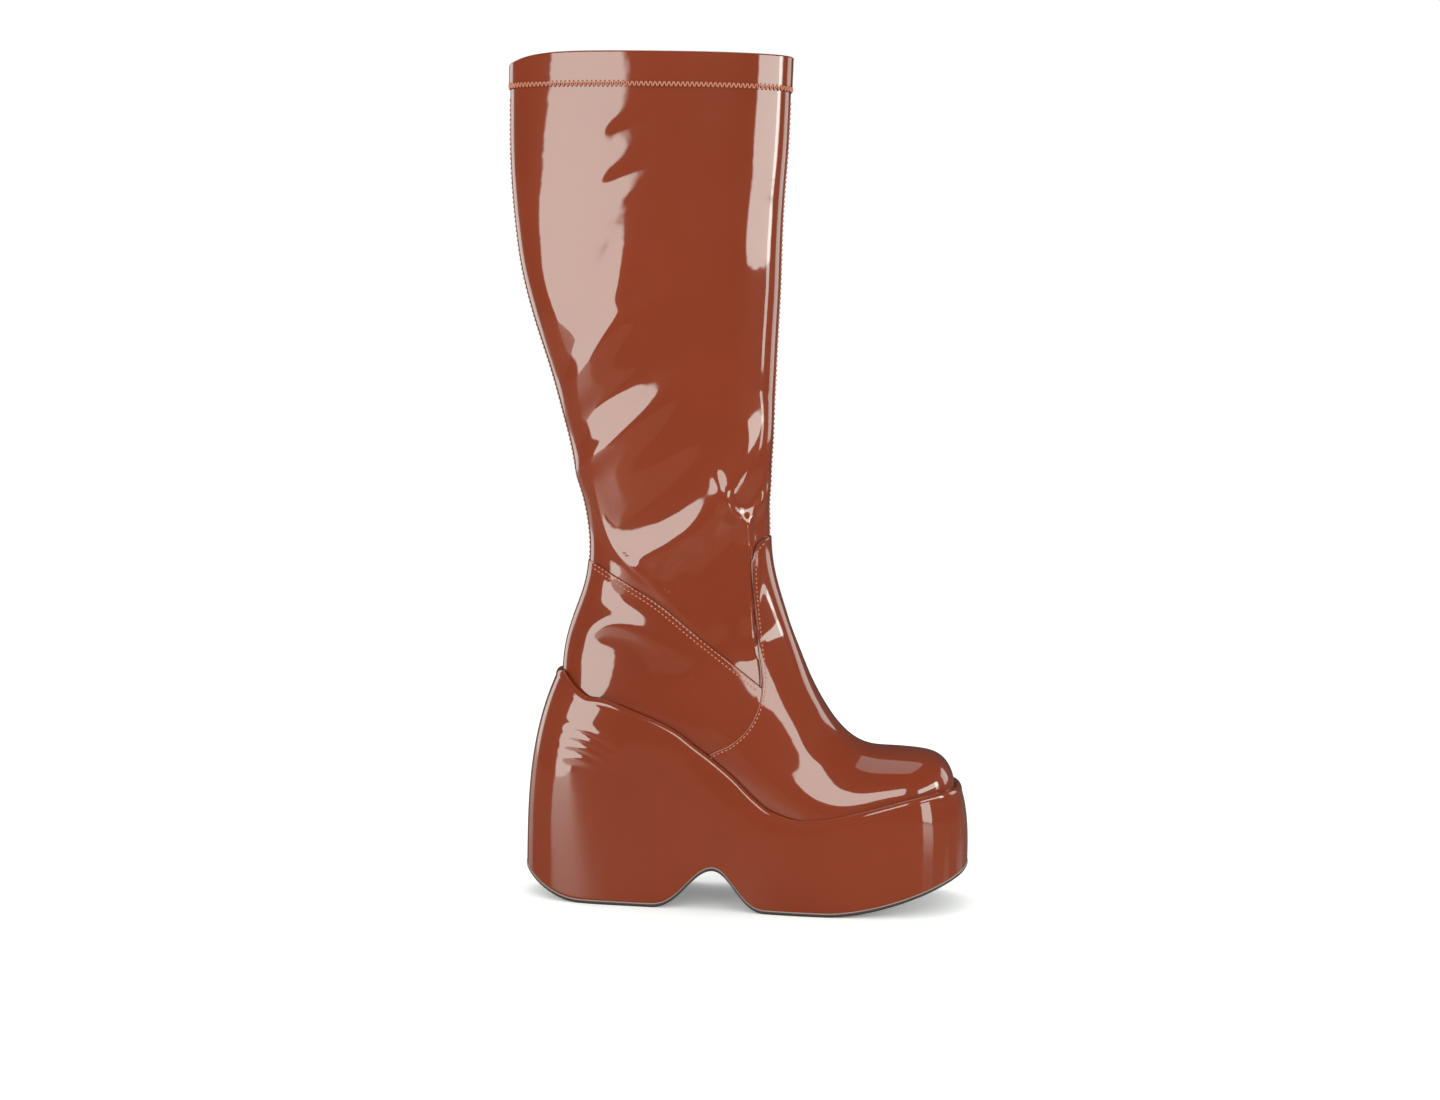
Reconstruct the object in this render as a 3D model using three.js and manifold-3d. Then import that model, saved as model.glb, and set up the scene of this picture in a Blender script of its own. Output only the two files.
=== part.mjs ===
// A knee-high platform boot in patent, for the right foot, women's size EU 38, in millimetres.
// X runs forward from heel to toe, Y to the wearer's left, which is the inner side, and Z up.
// The origin is on the floor, under the middle of the heel's flat spot.
import * as THREE from "three";
import { mergeVertices } from "three/addons/utils/BufferGeometryUtils.js";
import Module from "manifold-3d";

// Lengths along X are measured from the back of the sole until the whole boot is moved to its origin.
const lastSetback = 21;
const lastLength = 240.5;
const toeReach = 9.5; // how far the sole reaches past the last
const soleLength = lastSetback + lastLength + toeReach;
const heelRestSetback = 58; // to the middle of the heel's flat spot
const heelSeatHeight = 126; // floor to the platform's rim beside the heel
const ballHeight = 57; // floor to the platform's rim beside the ball
const toeLift = 17; // rise of the rim from ball to toe
const heelBevelLength = 38;
const heelBevelRise = 16.5;
const archBack = 78;
const archCrown = 118.5;
const archFront = 153;
const archHeight = 24;
const archSharpness = 1.5; // over 1 narrows the arch at its crown
const toeSpringLength = 84;
const toeSpringRise = 24.5;
const toeSpringCurve = 1.67; // 1 would be a straight ramp, 2 a parabola
const outsoleThickness = 2.5;

// The rolled rim of the platform, which hides the edge of the upper.
const rimWidth = 4;
const rimRoll = 4.5;
const rimCover = 6; // depth of the upper inside the rim
const heelCupRise = 13; // how far the rim climbs at the back of the heel
const heelCupLength = 18;
const heelCupCurve = 1.4;
const wallLean = 3; // how late the wall leans in as it climbs
const wallFlare = 1.5; // how much wider the platform is at the floor, on each side

// The last that the upper is pulled over, and the empty shaft above it.
const ballWidth = 86;
const heelWidth = 61;
const ankleHeight = 84; // heel seat to the narrowest of the ankle
const throatRise = 12; // ankle to the throat, where the vamp ends in front
const instepHeight = heelSeatHeight + ankleHeight + throatRise - ballHeight;
const ankleDepth = 110;
const ankleSetback = 16; // back of the last to the back of the ankle
const ankleWidth = 58;
const bootHeight = 509;
const collarDepth = 170;
const collarSweep = 52.5; // how far the collar reaches behind the ankle
const collarWidth = 66;
const collarDip = 6; // how far the collar's edge drops at the back seam
const collarDipDepth = 40; // the higher, the less of the shaft the dip takes in below the edge
const collarDipSpread = 5; // the higher, the nearer the dip keeps to the back seam

// Materials' thicknesses, and the gap that touching pieces keep.
const upperWall = 1.8;
const vampThickness = 1;
const counterThickness = 0.7;
const bandThickness = 0.8;
const bandHeight = 19;
const insoleThickness = 3;
const fitGap = 0.3;

// How fine the faceted surfaces are.
const sectionsPerRow = 1.2;
const columns = 24;
const outlinePoints = 68;
const wallSteps = 4;
const rollSteps = 3;
const heightStep = 5; // between the corners of a surface that follows the sole
const edgeStepsPerRow = 3;
const outlineSpacing = 4; // least gap between the points that an outline is drawn through

// Forms that only cut are made larger than the boot by these.
const throughWidth = 300;
const cutMargin = 60;
const collarClearance = 1;
const floorClearance = 2;

// A table of rows under named columns.
function table(names, ...rows) {
  return rows.map((row) => Object.fromEntries(names.map((name, i) => [name, row[i]])));
}

// The sole's pitch from heel to ball: along is a share of the last's length, level a share of the drop.
const pitchShape = table(
  ["along", "level"],
  [0.0, 1.0],
  [0.1, 0.985],
  [0.2, 0.88],
  [0.3, 0.735],
  [0.35, 0.61],
  [0.4, 0.485],
  [0.45, 0.345],
  [0.5, 0.18],
  [0.55, 0.06],
  [0.62, 0.0],
  [1.0, 0.0],
);

// Sections of the foot, from toe to heel. sole and top are shares of the last's length, where the
// section meets the footbed and the top line; low and rise are shares of the instep height, above the
// footbed and above the ball. outer, inner and shift are shares of half the ball width: how far the
// section reaches to each side of its middle, and how far its middle lies to the inner side. widest is
// where it is widest, crown and base how square it is above and below.
const footSections = table(
  ["sole", "top", "low", "rise", "outer", "inner", "shift", "widest", "crown", "base"],
  [1.0, 1.0, -0.02, 0.075, 0.05, 0.05, 0.12, 0.5, 2.2, 2.2],
  [0.9985, 0.9975, -0.05, 0.122, 0.36, 0.36, 0.12, 0.5, 2.6, 3],
  [0.991, 0.989, -0.05, 0.157, 0.53, 0.53, 0.115, 0.44, 2.5, 4],
  [0.975, 0.975, -0.05, 0.193, 0.67, 0.66, 0.105, 0.38, 2.4, 5],
  [0.95, 0.95, -0.05, 0.217, 0.79, 0.77, 0.09, 0.33, 2.3, 5],
  [0.911, 0.911, -0.05, 0.223, 0.89, 0.87, 0.07, 0.29, 2.2, 5],
  [0.852, 0.8565, -0.05, 0.23, 0.965, 0.95, 0.045, 0.27, 2.15, 5],
  [0.757, 0.794, -0.05, 0.233, 1.0, 1.0, 0.015, 0.26, 2.1, 5],
  [0.653, 0.74, -0.05, 0.265, 1.0, 0.98, 0.0, 0.26, 2.1, 5],
  [0.549, 0.697, -0.05, 0.325, 0.95, 0.87, 0.0, 0.3, 2.25, 5],
  [0.437, 0.66, -0.05, 0.403, 0.86, 0.76, 0.0, 0.36, 2.5, 5],
  [0.312, 0.6305, -0.05, 0.482, 0.8, 0.73, 0.0, 0.4, 2.5, 5],
  [0.187, 0.608, -0.05, 0.559, 0.755, 0.72, 0.0, 0.4, 2.45, 4.5],
  [0.079, 0.5895, -0.05, 0.624, 0.725, 0.72, 0.0, 0.42, 2.4, 4],
  [0.0, 0.575, -0.05, 0.676, 0.7, 0.7, 0.0, 0.46, 2.3, 3],
);

// Sections from the back of the heel up to the ankle. height is a share of the ankle height above the
// seat and forward a share of the ankle's setback; width is a share of half the heel width.
const heelSections = table(
  ["height", "forward", "top", "rise", "width", "widest", "crown"],
  [0.18, 0.0, 0.5605, 0.739, 0.985, 0.52, 2.25],
  [0.38, 0.13, 0.545, 0.806, 0.97, 0.58, 2.2],
  [0.595, 0.49, 0.5305, 0.885, 0.96, 0.58, 2.2],
  [0.81, 0.894, 0.5225, 0.97, 0.95, 0.54, 2.2],
);

// Sections of the shaft, from ankle to collar. back and front are heights as shares of the shaft above
// the ankle; backSweep and frontSweep go from 0 at the ankle to 1 at the collar, and so does width,
// past 1 at the calf.
const shaftSections = table(
  ["back", "front", "backSweep", "frontSweep", "width"],
  [0.01, 0.07, 0.0, -0.06, 0.0],
  [0.075, 0.125, 0.035, -0.2, 0.25],
  [0.16, 0.19, 0.17, -0.1, 0.55],
  [0.26, 0.285, 0.308, 0.06, 0.87],
  [0.368, 0.385, 0.48, 0.19, 1.1],
  [0.485, 0.495, 0.705, 0.32, 1.37],
  [0.602, 0.61, 0.878, 0.45, 1.37],
  [0.719, 0.725, 0.962, 0.6, 1.25],
  [0.836, 0.84, 0.992, 0.86, 1.12],
  [0.933, 0.936, 0.998, 0.9, 1.0],
  [1.0, 1.0, 1.0, 1.0, 1.0],
);
const shaftSquareness = 2.15;

// The vamp's edge seen from the side: along as a share of the last, rise as a share of the instep height.
const vampEdge = table(
  ["along", "rise"],
  [0.56, 1.02],
  [0.53, 1.012],
  [0.505, 0.997],
  [0.487, 0.97],
  [0.478, 0.935],
  [0.477, 0.9],
  [0.482, 0.82],
  [0.493, 0.71],
  [0.504, 0.605],
  [0.514, 0.52],
  [0.515, 0.455],
  [0.508, 0.395],
  [0.492, 0.34],
  [0.469, 0.295],
  [0.435, 0.255],
  [0.39, 0.22],
  [0.3, 0.1],
);

// The top edge of the heel counter, from the back seam forward to the vamp.
const counterEdge = table(
  ["along", "rise"],
  [-0.1, 0.96],
  [0.066, 0.905],
  [0.11, 0.883],
  [0.181, 0.827],
  [0.259, 0.758],
  [0.335, 0.671],
  [0.412, 0.583],
  [0.475, 0.514],
  [0.56, 0.42],
);

const patent = { color: 0x8f3c26, roughness: 0.12, metalness: 0 };
const lining = { color: 0x2b211d, roughness: 0.85, metalness: 0 };
const rubber = { color: 0x3a3733, roughness: 0.7, metalness: 0 };

const wasm = await Module();
wasm.setup();

const lerp = THREE.MathUtils.lerp;
const clamp = THREE.MathUtils.clamp;

// A smooth curve through rows that rise in x, with no overshoot between them.
function smoothThrough(xs, ys) {
  const slopes = xs.slice(1).map((x, i) => (ys[i + 1] - ys[i]) / (x - xs[i]));
  const tangents = xs.map((_, i) => {
    if (i === 0) return slopes[0];
    if (i === xs.length - 1) return slopes[i - 1];
    const [before, after] = [slopes[i - 1], slopes[i]];
    return before * after <= 0 ? 0 : (2 * before * after) / (before + after);
  });
  return (x) => {
    let i = 0;
    while (i < xs.length - 2 && x > xs[i + 1]) i += 1;
    const width = xs[i + 1] - xs[i];
    const t = clamp((x - xs[i]) / width, 0, 1);
    const rest = 1 - t;
    return (
      rest * rest * (1 + 2 * t) * ys[i] +
      t * t * (3 - 2 * t) * ys[i + 1] +
      width * t * rest * (rest * tangents[i] - t * tangents[i + 1])
    );
  };
}

// Heights of the sole, each as a function of X.
const pitchLevel = smoothThrough(pitchShape.map((r) => r.along), pitchShape.map((r) => r.level));
const pitchEnd = 0.62; // share of the last where the pitch ends and the toe lift starts

function featherHeight(x) {
  const along = clamp((x - lastSetback) / lastLength, 0, 1);
  const lift = THREE.MathUtils.smoothstep(along, pitchEnd, 1) * toeLift;
  return lerp(ballHeight, heelSeatHeight, pitchLevel(along)) + lift;
}

function rimHeight(x) {
  const near = clamp(1 - (x - lastSetback) / heelCupLength, 0, 1);
  return featherHeight(x) + heelCupRise * Math.pow(near, heelCupCurve);
}

function seatHeight(x) {
  return featherHeight(x) - rimCover;
}

function floorHeight(x) {
  if (x < heelBevelLength) return heelBevelRise * Math.pow(1 - x / heelBevelLength, 2);
  const springStart = soleLength - toeSpringLength;
  const spring = (x - springStart) / toeSpringLength;
  if (spring > 0) return toeSpringRise * Math.pow(spring, toeSpringCurve);
  const climb = (x - archBack) / (archCrown - archBack);
  const fall = (archFront - x) / (archFront - archCrown);
  const share = clamp(Math.min(climb, fall), 0, 1);
  return archHeight * Math.pow((1 - Math.cos(Math.PI * share)) / 2, archSharpness);
}

// One section of the last: back and front are its ends in the side view, and the rest its shape across.
function footSection(row) {
  const x = lastSetback + row.sole * lastLength;
  return {
    backX: x,
    backZ: seatHeight(x) + row.low * instepHeight,
    frontX: lastSetback + row.top * lastLength,
    frontZ: ballHeight + row.rise * instepHeight,
    outer: (row.outer * ballWidth) / 2,
    inner: (row.inner * ballWidth) / 2,
    shift: (row.shift * ballWidth) / 2,
    widest: row.widest,
    crown: row.crown,
    base: row.base,
  };
}

function heelSection(row) {
  const half = (row.width * heelWidth) / 2;
  return {
    backX: lastSetback + row.forward * ankleSetback,
    backZ: heelSeatHeight + row.height * ankleHeight,
    frontX: lastSetback + row.top * lastLength,
    frontZ: ballHeight + row.rise * instepHeight,
    outer: half,
    inner: half,
    shift: 0,
    widest: row.widest,
    crown: row.crown,
    base: shaftSquareness,
  };
}

function shaftSection(row) {
  const ankleX = lastSetback + ankleSetback;
  const ankleZ = heelSeatHeight + ankleHeight;
  const frontReach = collarDepth - collarSweep - ankleDepth;
  const half = lerp(ankleWidth, collarWidth, row.width) / 2;
  return {
    backX: ankleX - row.backSweep * collarSweep,
    backZ: lerp(ankleZ, bootHeight, row.back),
    frontX: ankleX + ankleDepth + row.frontSweep * frontReach,
    frontZ: lerp(ankleZ, bootHeight, row.front),
    outer: half,
    inner: half,
    shift: 0,
    widest: 0.5,
    crown: shaftSquareness,
    base: shaftSquareness,
  };
}

const sections = [
  ...footSections.map(footSection),
  ...heelSections.map(heelSection),
  ...shaftSections.map(shaftSection),
];
const sectionCurves = Object.fromEntries(
  Object.keys(sections[0]).map((key) => [
    key,
    smoothThrough(sections.map((_, i) => i), sections.map((s) => s[key])),
  ]),
);
const lastSection = sections.length - 1;

// A point of the last: place goes from the toe's section 0 to the collar's, and angle round the section,
// from 0 at its front through the outer side to a half turn at its back.
function lastPoint(place, angle) {
  const s = Object.fromEntries(Object.entries(sectionCurves).map(([key, curve]) => [key, curve(place)]));
  const [c, side] = [Math.cos(angle), Math.sin(angle)];
  const power = 2 / (c >= 0 ? s.crown : s.base);
  const reach = Math.pow(Math.abs(c), power);
  const t = c >= 0 ? lerp(s.widest, 1, reach) : lerp(s.widest, 0, reach);
  const half = side >= 0 ? -s.outer : s.inner;
  const nearCollar = Math.pow(place / lastSection, collarDipDepth);
  const atBack = Math.pow(Math.max(0, -c), collarDipSpread);
  return new THREE.Vector3(
    lerp(s.backX, s.frontX, t),
    s.shift + half * Math.pow(Math.abs(side), power),
    lerp(s.backZ, s.frontZ, t) - collarDip * nearCollar * atBack,
  );
}

function lastNormal(place, angle) {
  const step = 0.02;
  const low = Math.max(place - step, 0);
  const high = Math.min(place + step, lastSection);
  const along = lastPoint(high, angle).sub(lastPoint(low, angle));
  const round = lastPoint(place, angle + step).sub(lastPoint(place, angle - step));
  return along.cross(round).normalize();
}

// Closed meshes from rings of points, joined in order.
function geometryOf(points, triangles) {
  const geometry = new THREE.BufferGeometry();
  const numbers = points.flatMap((p) => [p.x, p.y, p.z]);
  geometry.setAttribute("position", new THREE.Float32BufferAttribute(numbers, 3));
  geometry.setIndex(triangles);
  return geometry;
}

function ringSides(rings) {
  const count = rings[0].length;
  const triangles = [];
  for (let i = 0; i < rings.length - 1; i += 1) {
    for (let j = 0; j < count; j += 1) {
      const next = (j + 1) % count;
      const [a, b, c, d] = [i * count + j, i * count + next, (i + 1) * count + next, (i + 1) * count + j];
      triangles.push(a, b, c, a, c, d);
    }
  }
  return triangles;
}

// Each end is closed by a fan from its middle.
function fanSolid(rings) {
  const count = rings[0].length;
  const points = rings.flat();
  const triangles = ringSides(rings);
  const middleOf = (ring) => ring.reduce((sum, p) => sum.add(p), new THREE.Vector3()).divideScalar(count);
  const first = points.push(middleOf(rings[0])) - 1;
  const last = points.push(middleOf(rings.at(-1))) - 1;
  const offset = (rings.length - 1) * count;
  for (let j = 0; j < count; j += 1) {
    const next = (j + 1) % count;
    triangles.push(first, next, j, last, offset + j, offset + next);
  }
  return toManifold(geometryOf(points, triangles));
}

// Each end is closed by strips across, from one side of the outline to the other.
function stripSolid(rings) {
  const count = rings[0].length;
  const triangles = ringSides(rings);
  const top = (rings.length - 1) * count;
  for (let j = 0; j < count / 2; j += 1) {
    const [a, b] = [j, j + 1];
    const [c, d] = [(count - j) % count, count - j - 1];
    if (a !== c) triangles.push(a, c, b, top + a, top + b, top + c);
    if (b !== d) triangles.push(b, c, d, top + b, top + d, top + c);
  }
  return toManifold(geometryOf(rings.flat(), triangles));
}

function toManifold(geometry) {
  const solid = new wasm.Manifold(
    new wasm.Mesh({
      numProp: 3,
      vertProperties: new Float32Array(geometry.attributes.position.array),
      triVerts: new Uint32Array(geometry.index.array),
    }),
  );
  return solid;
}

// The last grown by an amount all round, with its collar raised for a form that cuts through it.
function lastForm(grow, collarRaise = 0) {
  const rows = Math.round(lastSection * sectionsPerRow);
  const rings = [];
  for (let i = 0; i <= rows; i += 1) {
    const place = (lastSection * i) / rows;
    const ring = [];
    for (let j = 0; j < columns; j += 1) {
      const angle = (-2 * Math.PI * j) / columns;
      ring.push(lastPoint(place, angle).addScaledVector(lastNormal(place, angle), grow));
    }
    rings.push(ring);
  }
  if (collarRaise > 0) {
    rings.push(rings.at(-1).map((p) => p.clone().setZ(p.z + collarRaise)));
  }
  return fanSolid(rings);
}

// The plan outline of the last where it crosses a height, from the back of the heel round the outer side.
function outlineAt(heightOf) {
  const angleTolerance = 1e-9;
  const placeStep = 0.5;
  const backStep = 0.02;
  const crossing = (place, sign) => {
    const above = (angle) => {
      const p = lastPoint(place, sign * angle);
      return p.z - heightOf(p.x);
    };
    if (above(0) <= 0 || above(Math.PI) >= 0) return null;
    let [low, high] = [0, Math.PI];
    while (high - low > angleTolerance) {
      const middle = (low + high) / 2;
      if (above(middle) > 0) low = middle;
      else high = middle;
    }
    return lastPoint(place, sign * low).setZ(0);
  };
  const samples = [];
  const heelEnd = footSections.length + heelSections.length;
  for (let place = 0; place <= heelEnd; place += placeStep) {
    if (crossing(place, 1)) samples.push(place);
  }
  const outer = samples.map((place) => crossing(place, 1)).reverse();
  const inner = samples.map((place) => crossing(place, -1));
  const toe = lastPoint(0, 0).setZ(0);
  let backPlace = samples.at(-1);
  let back = lastPoint(backPlace, Math.PI);
  while (back.z < heightOf(back.x)) {
    backPlace += backStep;
    back = lastPoint(backPlace, Math.PI);
  }
  const heel = back.clone().setZ(0);
  const spaced = [heel];
  for (const point of [...outer, toe, ...inner]) {
    const apart = Math.min(point.distanceTo(spaced.at(-1)), point.distanceTo(heel));
    if (apart > outlineSpacing) spaced.push(point);
  }
  const curve = new THREE.CatmullRomCurve3(spaced, true, "centripetal");
  return curve.getSpacedPoints(outlinePoints).slice(0, outlinePoints);
}

function outlineNormals(outline) {
  return outline.map((_, i) => {
    const before = outline.at(i - 1);
    const after = outline[(i + 1) % outline.length];
    return new THREE.Vector3(before.y - after.y, after.x - before.x, 0).normalize().negate();
  });
}

function grownOutline(outline, grow) {
  const normals = outlineNormals(outline);
  return outline.map((p, i) => p.clone().addScaledVector(normals[i], grow));
}

// A prism that runs right through the boot, from its outline in the side view.
function sidePrism(corners) {
  const shape = new THREE.Shape(corners.map(([x, z]) => new THREE.Vector2(x, z)));
  const geometry = new THREE.ExtrudeGeometry(shape, { depth: throughWidth, bevelEnabled: false });
  geometry.deleteAttribute("normal");
  geometry.deleteAttribute("uv");
  geometry.rotateX(Math.PI / 2).translate(0, throughWidth / 2, 0);
  return toManifold(mergeVertices(geometry));
}

// Everything above a height that follows the sole.
function regionAbove(heightOf) {
  const [back, front] = [-cutMargin, soleLength + cutMargin];
  const corners = [];
  for (let x = back; x < front; x += heightStep) corners.push([x, heightOf(x)]);
  const top = bootHeight + cutMargin;
  return sidePrism([...corners, [front, heightOf(front)], [front, top], [back, top]]);
}

function edgePoints(rows) {
  const corners = rows.map((row) => [
    lastSetback + row.along * lastLength,
    ballHeight + row.rise * instepHeight,
  ]);
  const curve = new THREE.SplineCurve(corners.map(([x, z]) => new THREE.Vector2(x, z)));
  return curve.getPoints(rows.length * edgeStepsPerRow).map((p) => [p.x, p.y]);
}

// The stiff front panel of the upper: everything in front of its edge.
function vampRegion(setback) {
  const edge = edgePoints(vampEdge).map(([x, z]) => [x - setback, z]);
  const front = soleLength + throughWidth;
  return sidePrism([...edge, [edge.at(-1)[0], 0], [front, 0], [front, edge[0][1]]]);
}

// The panel that wraps the heel: everything below its edge.
function counterRegion() {
  const edge = edgePoints(counterEdge);
  const back = edge[0][0] - throughWidth;
  return sidePrism([...edge, [edge.at(-1)[0], 0], [back, 0], [back, edge[0][1]]]);
}

const overlayReach = fitGap + vampThickness;
const lastOutline = outlineAt(rimHeight);
const rimOutline = grownOutline(lastOutline, overlayReach + fitGap + rimWidth);

// The outline on the floor: the rim's, drawn out to the sole's length and a little wider.
const floorOutline = (() => {
  const xs = rimOutline.map((p) => p.x);
  const [low, high] = [Math.min(...xs), Math.max(...xs)];
  const normals = outlineNormals(rimOutline);
  return rimOutline.map(
    (p, i) =>
      new THREE.Vector3(
        (soleLength * (p.x - low)) / (high - low),
        p.y + wallFlare * normals[i].y,
        0,
      ),
  );
})();

// The side of the sole climbs from the floor's outline to the rim's and rolls over.
function soleForm() {
  const normals = outlineNormals(rimOutline);
  const rings = [];
  for (let k = 0; k <= wallSteps; k += 1) {
    const climb = k / wallSteps;
    const lean = Math.pow(climb, wallLean);
    rings.push(
      rimOutline.map((rim, i) => {
        const foot = floorOutline[i];
        return new THREE.Vector3(
          lerp(foot.x, rim.x, lean),
          lerp(foot.y, rim.y, lean),
          lerp(floorHeight(foot.x) - floorClearance, rimHeight(rim.x) - rimRoll, climb),
        );
      }),
    );
  }
  for (let k = 1; k <= rollSteps; k += 1) {
    const turn = (Math.PI / 2) * (k / rollSteps);
    const inward = rimRoll * (1 - Math.cos(turn));
    const drop = rimRoll * (1 - Math.sin(turn));
    rings.push(
      rimOutline.map((rim, i) => {
        const p = rim.clone().addScaledVector(normals[i], -inward);
        return p.setZ(rimHeight(rim.x) - drop);
      }),
    );
  }
  return stripSolid(rings);
}

function makeOutsole() {
  const top = (x) => floorHeight(x) + outsoleThickness;
  return soleForm().intersect(regionAbove(floorHeight)).subtract(regionAbove(top));
}

function makePlatform() {
  const floor = (x) => floorHeight(x) + outsoleThickness + fitGap;
  const recessFloor = (x) => seatHeight(x) - fitGap;
  const recess = lastForm(overlayReach + fitGap).intersect(regionAbove(recessFloor));
  return soleForm().intersect(regionAbove(floor)).subtract(recess);
}

function makeInsole() {
  const top = (x) => seatHeight(x) + insoleThickness;
  return lastForm(-upperWall - fitGap).intersect(regionAbove(seatHeight)).subtract(regionAbove(top));
}

// The upper is the last's own shape, hollowed to its wall, open at the collar and underneath.
function makeUpper() {
  return lastForm(0).intersect(regionAbove(seatHeight)).subtract(lastForm(-upperWall, collarClearance));
}

// A panel of a thickness, laid over the upper and cut between two larger forms.
function overlay(thickness) {
  return lastForm(fitGap + thickness).subtract(lastForm(fitGap, collarClearance));
}

function makeVamp() {
  return overlay(vampThickness).intersect(vampRegion(0)).intersect(regionAbove(seatHeight));
}

function makeCounter() {
  return overlay(counterThickness)
    .intersect(counterRegion())
    .intersect(regionAbove(seatHeight))
    .subtract(vampRegion(fitGap));
}

function makeBand() {
  return overlay(bandThickness).intersect(regionAbove(() => bootHeight - bandHeight));
}

function meshOf(name, solid, look) {
  const made = solid.getMesh();
  const geometry = new THREE.BufferGeometry();
  geometry.setAttribute("position", new THREE.BufferAttribute(made.vertProperties, 3));
  geometry.setIndex(new THREE.BufferAttribute(made.triVerts, 1));
  geometry.computeVertexNormals();
  const mesh = new THREE.Mesh(geometry, new THREE.MeshStandardMaterial(look));
  mesh.name = name;
  return mesh;
}

const boot = new THREE.Group();
boot.add(
  meshOf("outsole", makeOutsole(), rubber),
  meshOf("platform", makePlatform(), patent),
  meshOf("insole", makeInsole(), lining),
  meshOf("upper", makeUpper(), patent),
  meshOf("vamp", makeVamp(), patent),
  meshOf("heel_counter", makeCounter(), patent),
  meshOf("collar_band", makeBand(), patent),
);
boot.position.x = -heelRestSetback;

export default boot;
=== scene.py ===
# Looks of the knee-high platform boot: patent upper and covered platform, seams, stitches and folds.
# Shapes are worked out in millimetres, X forward from the back of the sole, Y to the inner side, Z up,
# and moved into the frame, in metres, when a mesh is made.
import math

import bpy
import numpy as np
from mathutils import Matrix, Vector


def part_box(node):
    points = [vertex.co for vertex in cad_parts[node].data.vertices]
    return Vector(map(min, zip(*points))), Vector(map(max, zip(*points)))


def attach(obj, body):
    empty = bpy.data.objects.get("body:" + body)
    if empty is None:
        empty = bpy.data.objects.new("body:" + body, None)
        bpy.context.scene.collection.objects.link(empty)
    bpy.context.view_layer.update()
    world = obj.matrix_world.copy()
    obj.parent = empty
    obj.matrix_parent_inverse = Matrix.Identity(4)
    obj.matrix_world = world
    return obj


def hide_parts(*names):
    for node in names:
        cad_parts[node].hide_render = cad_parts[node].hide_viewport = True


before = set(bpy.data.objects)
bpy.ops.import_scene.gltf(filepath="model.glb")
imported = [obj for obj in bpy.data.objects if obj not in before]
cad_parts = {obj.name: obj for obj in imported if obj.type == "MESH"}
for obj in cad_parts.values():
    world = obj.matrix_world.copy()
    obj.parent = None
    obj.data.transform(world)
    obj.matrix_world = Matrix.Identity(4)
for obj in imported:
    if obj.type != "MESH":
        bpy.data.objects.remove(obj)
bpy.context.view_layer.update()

# Sizes that the frame gives.
MM = 1000.0
_, sole_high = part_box("outsole")
_, upper_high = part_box("upper")
heel_rest_setback = 58.0
boot_height = upper_high.z * MM
sole_length = round(sole_high.x * MM + heel_rest_setback, 1)

# Sizes of the sole and the last, as in the solids.
last_setback = 21.0
last_length = 240.5
heel_seat_height = 126.0
ball_height = 57.0
toe_lift = 17.0
heel_bevel_length = 38.0
heel_bevel_rise = 16.5
arch_back = 78.0
arch_crown = 118.5
arch_front = 153.0
arch_height = 24.0
arch_sharpness = 1.5
toe_spring_length = 84.0
toe_spring_rise = 24.5
toe_spring_curve = 1.67
outsole_thickness = 2.5
rim_width = 4.0
rim_roll = 4.5
rim_cover = 6.0
heel_cup_rise = 13.0
heel_cup_length = 18.0
heel_cup_curve = 1.4
wall_lean = 3.0
wall_flare = 1.5
ball_width = 86.0
heel_width = 61.0
instep_height = 165.0
ankle_height = 84.0
ankle_depth = 110.0
ankle_setback = 16.0
ankle_width = 58.0
collar_depth = 170.0
collar_sweep = 52.5
collar_width = 66.0
collar_dip = 6.0
collar_dip_depth = 40
collar_dip_spread = 5
upper_wall = 1.8
vamp_thickness = 1.0
counter_thickness = 0.7
band_thickness = 0.8
band_height = 19.0
insole_thickness = 3.0
fit_gap = 0.3

# How fine the meshes are, and how far the last is softened along its rows and round them.
last_rows = 330
last_columns = 208
outline_points = 320
wall_rows = 90
roll_rows = 12
fall_rows = 7
edge_rows = 9
dense_rows = 1600
coarse_columns = 48
soft_along = 4.0
soft_around = 1.6
tiny = 1e-9


def table(names, *rows):
    return [dict(zip(names, row)) for row in rows]


# The footbed's pitch: the share of the last from the heel, and the level between ball and heel seat.
pitch_shape = (
    (0.0, 1.0), (0.1, 0.985), (0.2, 0.88), (0.3, 0.735), (0.35, 0.61), (0.4, 0.485),
    (0.45, 0.345), (0.5, 0.18), (0.55, 0.06), (0.62, 0.0), (1.0, 0.0),
)

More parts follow.
